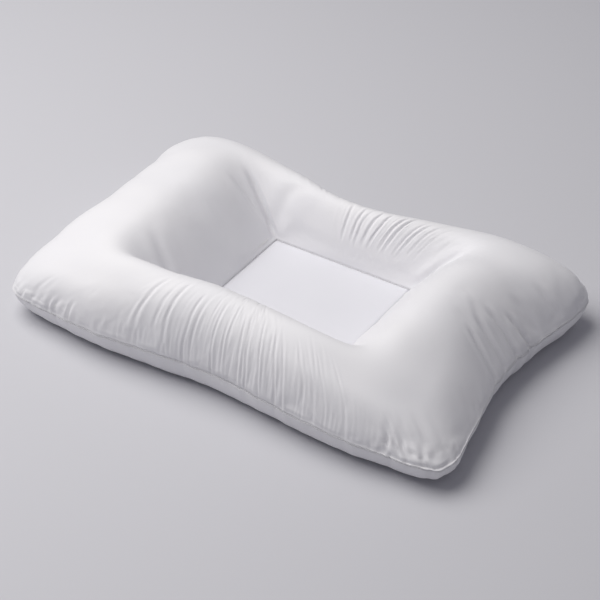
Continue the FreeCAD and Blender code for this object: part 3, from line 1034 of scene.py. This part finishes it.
STITCH_SPOTS = (-1.0, -0.75, -0.3, 0.3, 0.75, 1.0)
STITCH_SIDES = 6
STITCH_BOW = 0.7
CLOSING_PITCH = 2.7 * MM
CLOSING_LENGTH = 2.1 * MM
CLOSING_ROW = 2  # row of the underside's wall that the closing stitches follow


def along_path(at, total, values):
    return np.array([np.interp(at, total, values[:, axis]) for axis in range(3)])


def stitch_ring(at, spot, total, path, outward):
    """One ring of points round a stitch, narrower and deeper towards the stitch's ends."""
    here = along_path(at, total, path)
    there = along_path(at + 0.2 * MM, total, path)
    up = along_path(at, total, outward)
    along = (there - here) / (np.linalg.norm(there - here) + 1e-12)
    up = up - along * (up @ along)
    up /= np.linalg.norm(up) + 1e-12
    beside = np.cross(along, up)
    radius = THREAD / 2 * math.sqrt(max(0.06, 1 - spot ** 4))
    here = here - up * THREAD * STITCH_BOW * spot ** 2
    angles = [2 * math.pi * side / STITCH_SIDES for side in range(STITCH_SIDES)]
    return [here + radius * (up * math.cos(angle) + beside * math.sin(angle))
            for angle in angles]


def stitch_faces(start):
    """Sides and ends of the stitch whose points begin at this number."""
    faces = []
    last = start + (len(STITCH_SPOTS) - 1) * STITCH_SIDES
    for one in range(start, last, STITCH_SIDES):
        two = one + STITCH_SIDES
        for side in range(STITCH_SIDES):
            after = (side + 1) % STITCH_SIDES
            faces.append((one + side, one + after, two + after, two + side))
    faces.append(tuple(start + side for side in range(STITCH_SIDES))[::-1])
    faces.append(tuple(last + side for side in range(STITCH_SIDES)))
    return faces


def stitch_mesh(name, path, outward, pitch=STITCH_PITCH, length=STITCH_LENGTH, closed=True):
    """A row of rounded stitches along a path, each bowed a little over the cloth."""
    if closed:
        path = np.vstack([path, path[:1]])
        outward = np.vstack([outward, outward[:1]])
    total = path_lengths(path)
    count = int(total[-1] / pitch)
    points, faces = [], []
    for number in range(count):
        centre = (number + 0.5) * total[-1] / count
        faces += stitch_faces(len(points))
        for spot in STITCH_SPOTS:
            points += stitch_ring(centre + spot * length / 2, spot, total, path, outward)
    return mesh_piece(name, points, faces)


def perimeter_stitches():
    edge = ring_points[:, 0]
    outward = -inward_from(edge)
    path = edge + outward * 0.15 * MM - np.array([0, 0, SEAM_GAP])
    return stitch_mesh("perimeter_stitches", path, outward)


def closing_stitches():
    """Across the opening at the middle of the back, on the underside's wall."""
    dish = folded_dish()
    normals = -surface_normals(dish)[:, CLOSING_ROW]
    line = dish[:, CLOSING_ROW]
    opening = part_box("closing_seam_thread")
    chosen = column_side == SIDES.index("back")
    chosen &= line[:, 0] < opening[1][0]
    chosen &= line[:, 0] > opening[0][0]
    path = (line + normals * 0.2 * MM)[chosen]
    return stitch_mesh("closing_stitches", path, normals[chosen], CLOSING_PITCH,
                       CLOSING_LENGTH, closed=False)


def cradle_stitches():
    inward = np.column_stack([np.array(CRADLE_MIDDLE) - cradle_plan,
                              np.zeros(len(cradle_plan))])
    inward /= np.linalg.norm(inward, axis=1, keepdims=True)
    level = np.full(len(cradle_plan), CRADLE_LEVEL - 0.9 * MM)
    path = np.column_stack([cradle_plan, level]) + inward * 0.55 * MM
    up = inward * 0.3 + np.array([0, 0, 1.0])
    return stitch_mesh("cradle_stitches", path, up)


def base_stitches():
    """Where the inner walls' feet are sewn to the underside, in its groove."""
    level = np.full(len(cradle_plan), FLOOR_GAP + 1.1 * MM)
    path = np.column_stack([cradle_plan, level])
    down = np.tile([0, 0, -1.0], (len(path), 1))
    return stitch_mesh("base_stitches", path, down)


def make_stitches():
    """All the sewing: round the edge, across the opening, and round the cradle twice."""
    finish_thread(perimeter_stitches(), "perimeter_seam_thread")
    finish_thread(closing_stitches(), "closing_seam_thread")
    finish_thread(cradle_stitches(), "cradle_seam_thread")
    finish_thread(base_stitches(), "base_seam_thread")


def finish_thread(piece, node):
    dress(piece, thread_finish)
    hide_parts(node)


# ---- inside: walls and fibre ----

BAFFLE_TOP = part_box("baffle_front")[1][2]
BAFFLE_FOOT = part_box("baffle_front")[0][2]
BAFFLE_GAP = 0.75 * MM
FOOT_FLANGE = 4 * MM
BAFFLE_CLOTH = 0.4 * MM
BAFFLE_COLUMNS = 61
BAFFLE_BELLY = 0.12 * MM
# Distance out and height at each row of a baffle, from its top to its turned-out foot.
BAFFLE_PROFILE = [
    (0, BAFFLE_TOP),
    (0, 11 * MM),
    (0.15 * MM, 7 * MM),
    (0, BAFFLE_FOOT + 1.2 * MM),
    (0.3 * MM, BAFFLE_FOOT + 0.4 * MM),
    (1.2 * MM, BAFFLE_FOOT + 0.1 * MM),
    (FOOT_FLANGE, BAFFLE_FOOT + 0.1 * MM),
]


def side_frame(side):
    """Start, end and the along and outward directions of one side of the cradle outline."""
    index = SIDES.index(side)
    box = cradle_corners()
    start, end = box[index], box[(index + 1) % 4]
    along = (end - start) / np.linalg.norm(end - start)
    return start, end, along, np.array([along[1], -along[0]])


def make_baffle(side):
    """Low inner wall from the cradle seam down to the underside, its foot turned out."""
    start, end, along, out = side_frame(side)
    length = np.linalg.norm(end - start)
    points, uvs, faces = [], [], []
    for column in range(BAFFLE_COLUMNS):
        spot = column / (BAFFLE_COLUMNS - 1)
        belly = BAFFLE_BELLY * math.sin(spot * 19) * math.sin(math.pi * spot)
        for row, (away, level) in enumerate(BAFFLE_PROFILE):
            trim = 0.5 * MM + max(0, away - 1 * MM)
            plan = start + along * (trim + (length - 2 * trim) * spot)
            plan = plan + out * (BAFFLE_GAP + away + (belly if 0 < row < 4 else 0))
            points.append((plan[0], plan[1], level))
            uvs.append((spot * length, level - away))
    rows = len(BAFFLE_PROFILE)
    for column in range(BAFFLE_COLUMNS - 1):
        for row in range(rows - 1):
            one, two = column * rows + row, (column + 1) * rows + row
            faces.append((one, one + 1, two + 1, two))
    piece = mesh_piece(f"baffle_{side}_sheet", points, faces, uvs)
    apply_modifier(piece, "SOLIDIFY", thickness=BAFFLE_CLOTH, offset=0)
    dress(piece, nonwoven)
    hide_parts(f"baffle_{side}")


FILL_INSET = 2.4 * MM
FILL_RING_ROWS = 20
FILL_FLOOR_ROWS = 8
TUFT = 0.9 * MM


def fill_sections(picks, out):
    """Closed cross-sections of a side's fibre: under the cloth, down the wall, on the floor."""
    ring_rows = np.linspace(3, RING_ROWS - 5, FILL_RING_ROWS).astype(int)
    dish = folded_dish()
    dish_rows = np.arange(DISH_ROWS - 2, 1, -2)
    ring_in = ring_points - surface_normals(ring_points) * FILL_INSET
    dish_in = dish + surface_normals(dish) * FILL_INSET
    dish_in[..., 2] = np.maximum(dish_in[..., 2], 2.6 * MM)
    wall_levels = np.array([CRADLE_LEVEL + 6 * MM, 12 * MM, 6 * MM])
    sections = []
    for column in picks:
        wall = cradle_plan[column] + out * (BAFFLE_GAP + 1.6 * MM)
        inner = np.column_stack([np.tile(wall, (3, 1)), wall_levels])
        foot = cradle_plan[column] + out * (BAFFLE_GAP + FOOT_FLANGE + 2 * MM)
        start, end = np.append(foot, 3.2 * MM), dish_in[column, dish_rows[0]]
        floor = start + (end - start) * np.linspace(0, 0.92, FILL_FLOOR_ROWS)[:, None]
        sections.append(np.vstack([ring_in[column, ring_rows], inner, floor,
                                   dish_in[column, dish_rows]]))
    return np.stack(sections)


def tufted(grid, picks):
    """Sections drawn in a little at both ends, and everywhere by the fibre's tufts."""
    around_side = (column_station[picks] - 0.5) * 2
    middle = grid.mean(axis=1, keepdims=True)
    ends = 1 - 0.10 * np.clip(np.abs(around_side) - 0.86, 0, 1) / 0.14
    grid = middle + (grid - middle) * ends[:, None, None]
    tuft = np.sin(grid[..., 0] / (6 * MM) + 2 * np.sin(grid[..., 1] / (9 * MM)))
    tuft = tuft * np.sin(grid[..., 2] / (7 * MM) + grid[..., 1] / (8 * MM))
    inward = middle - grid
    inward = inward / np.linalg.norm(inward, axis=2, keepdims=True)
    return grid + inward * (TUFT * (1 + tuft))[..., None]


def tube_faces(count, rows):
    """Sides of a tube of closed sections, and its two ends round a hub point each."""
    faces = []
    for column in range(count - 1):
        one, two = column * rows, (column + 1) * rows
        for row in range(rows):
            after = (row + 1) % rows
            faces.append((one + row, two + row, two + after, one + after))
    for column, hub in ((0, count * rows), (count - 1, count * rows + 1)):
        for row in range(rows):
            cap = (hub, column * rows + row, column * rows + (row + 1) % rows)
            faces.append(cap if column == 0 else cap[::-1])
    return faces


def make_roll_fill(side, name, node):
    """Loose fibre that fills one side of the ring, just inside the cloth and inner wall."""
    picks = np.flatnonzero(column_side == SIDES.index(side))[2::3]
    _, _, _, out = side_frame(side)
    grid = tufted(fill_sections(picks, out), picks)
    count, rows = grid.shape[:2]
    points = list(grid.reshape(-1, 3)) + [grid[0].mean(axis=0), grid[-1].mean(axis=0)]
    piece = mesh_piece(name, points, tube_faces(count, rows))
    dress(piece, fibre)
    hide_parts(node)


PAD_COUNT = 41
PAD_PLAY = 1.6 * MM
PAD_LOW = 3.1 * MM
PAD_HIGH = CRADLE_LEVEL - 2.6 * MM
PAD_TUFT = 0.5 * MM


def make_cradle_fill():
    """Thin pad of fibre under the cradle panel."""
    count = PAD_COUNT
    half_x = (CRADLE_RIGHT - CRADLE_LEFT) / 2 - PAD_PLAY
    half_y = (CRADLE_BACK - CRADLE_FRONT) / 2 - PAD_PLAY
    points, faces = [], []
    for face in (-1, 1):
        for row in range(count):
            for column in range(count):
                u, v = 2 * column / (count - 1) - 1, 2 * row / (count - 1) - 1
                edge = (1 - u ** 8) * (1 - v ** 8)
                thick = (PAD_HIGH - PAD_LOW) / 2 * (0.35 + 0.65 * edge ** 0.5)
                tuft = PAD_TUFT * math.sin(u * 19 + 2 * math.sin(v * 7)) * math.sin(v * 16)
                level = (PAD_LOW + PAD_HIGH) / 2 + (thick + tuft * edge - PAD_TUFT) * face
                points.append((CRADLE_MIDDLE[0] + half_x * u, CRADLE_MIDDLE[1] + half_y * v,
                               level))
    grid = count * count
    for row in range(count - 1):
        for column in range(count - 1):
            one = row * count + column
            quad = (one, one + 1, one + count + 1, one + count)
            faces.append(quad[::-1])
            faces.append(tuple(grid + index for index in quad))
    rim = square_rim(count)
    for index, one in enumerate(rim):
        two = rim[(index + 1) % len(rim)]
        faces.append((one, two, grid + two, grid + one))
    piece = mesh_piece("cradle_fibre", points, faces)
    dress(piece, fibre)
    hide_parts("cradle_fill_pad")


# ---- camera, lights and floor ----

CAMERA_AZIMUTH = math.radians(32.95)
CAMERA_ELEVATION = math.radians(37.12)
CAMERA_DISTANCE = 2.0
CAMERA_TARGET = Vector((0.0129, -0.0137, 0.04))
KEY_PLACE = (-0.95, -0.30, 2.0)
KEY_SIZE = 2.3
KEY_WATTS = 51
ROOM_STRENGTH = 0.26
FLOOR_SIZE = 30


def aim(thing, target):
    """Turn a camera or light so that it looks at a point."""
    direction = Vector(target) - thing.location
    thing.rotation_euler = direction.to_track_quat("-Z", "Y").to_euler()


def make_camera():
    """Three-quarter view from the front right, from above."""
    level = math.cos(CAMERA_ELEVATION)
    back = Vector((math.sin(CAMERA_AZIMUTH) * level, -math.cos(CAMERA_AZIMUTH) * level,
                   math.sin(CAMERA_ELEVATION)))
    lens = bpy.data.cameras.new("view")
    lens.lens = 101.0
    lens.sensor_width = 36.0
    camera = bpy.data.objects.new("view", lens)
    camera.location = CAMERA_TARGET + back * CAMERA_DISTANCE
    aim(camera, CAMERA_TARGET)
    bpy.context.collection.objects.link(camera)
    bpy.context.scene.camera = camera


def add_area_light(name, place, size, watts, colour):
    light = bpy.data.lights.new(name, "AREA")
    light.shape = "DISK"
    light.size = size
    light.energy = watts
    light.color = srgb(colour)[:3]
    lamp = bpy.data.objects.new(name, light)
    lamp.location = place
    aim(lamp, (0, 0, 0.05))
    bpy.context.collection.objects.link(lamp)


def make_studio():
    """Pale floor, a broad key from the left and above, and a dim even room."""
    bpy.ops.mesh.primitive_plane_add(size=FLOOR_SIZE, location=(0, 0, 0))
    floor = bpy.context.active_object
    floor.name = "studio_floor"
    floor.data.materials.append(floor_paint())
    add_area_light("key", KEY_PLACE, KEY_SIZE, KEY_WATTS, "#FFFDFA")
    world = bpy.data.worlds.new("room")
    world.use_nodes = True
    backdrop = world.node_tree.nodes["Background"]
    backdrop.inputs["Color"].default_value = srgb("#E9E8F2")
    backdrop.inputs["Strength"].default_value = ROOM_STRENGTH
    bpy.context.scene.world = world
    bpy.context.scene.view_settings.view_transform = "Standard"


deselect_all()
make_camera()
make_studio()
ring_piece = make_top_ring()
bottom_piece = make_bottom()
cradle_piece = make_cradle_cover()
make_stitches()
make_roll_fill("front", "fill_front_fibre", "fill_front_roll")
make_roll_fill("right", "fill_right_fibre", "fill_right_lobe")
make_roll_fill("back", "fill_back_fibre", "fill_back_roll")
make_roll_fill("left", "fill_left_fibre", "fill_left_lobe")
make_cradle_fill()
for side in SIDES:
    make_baffle(side)
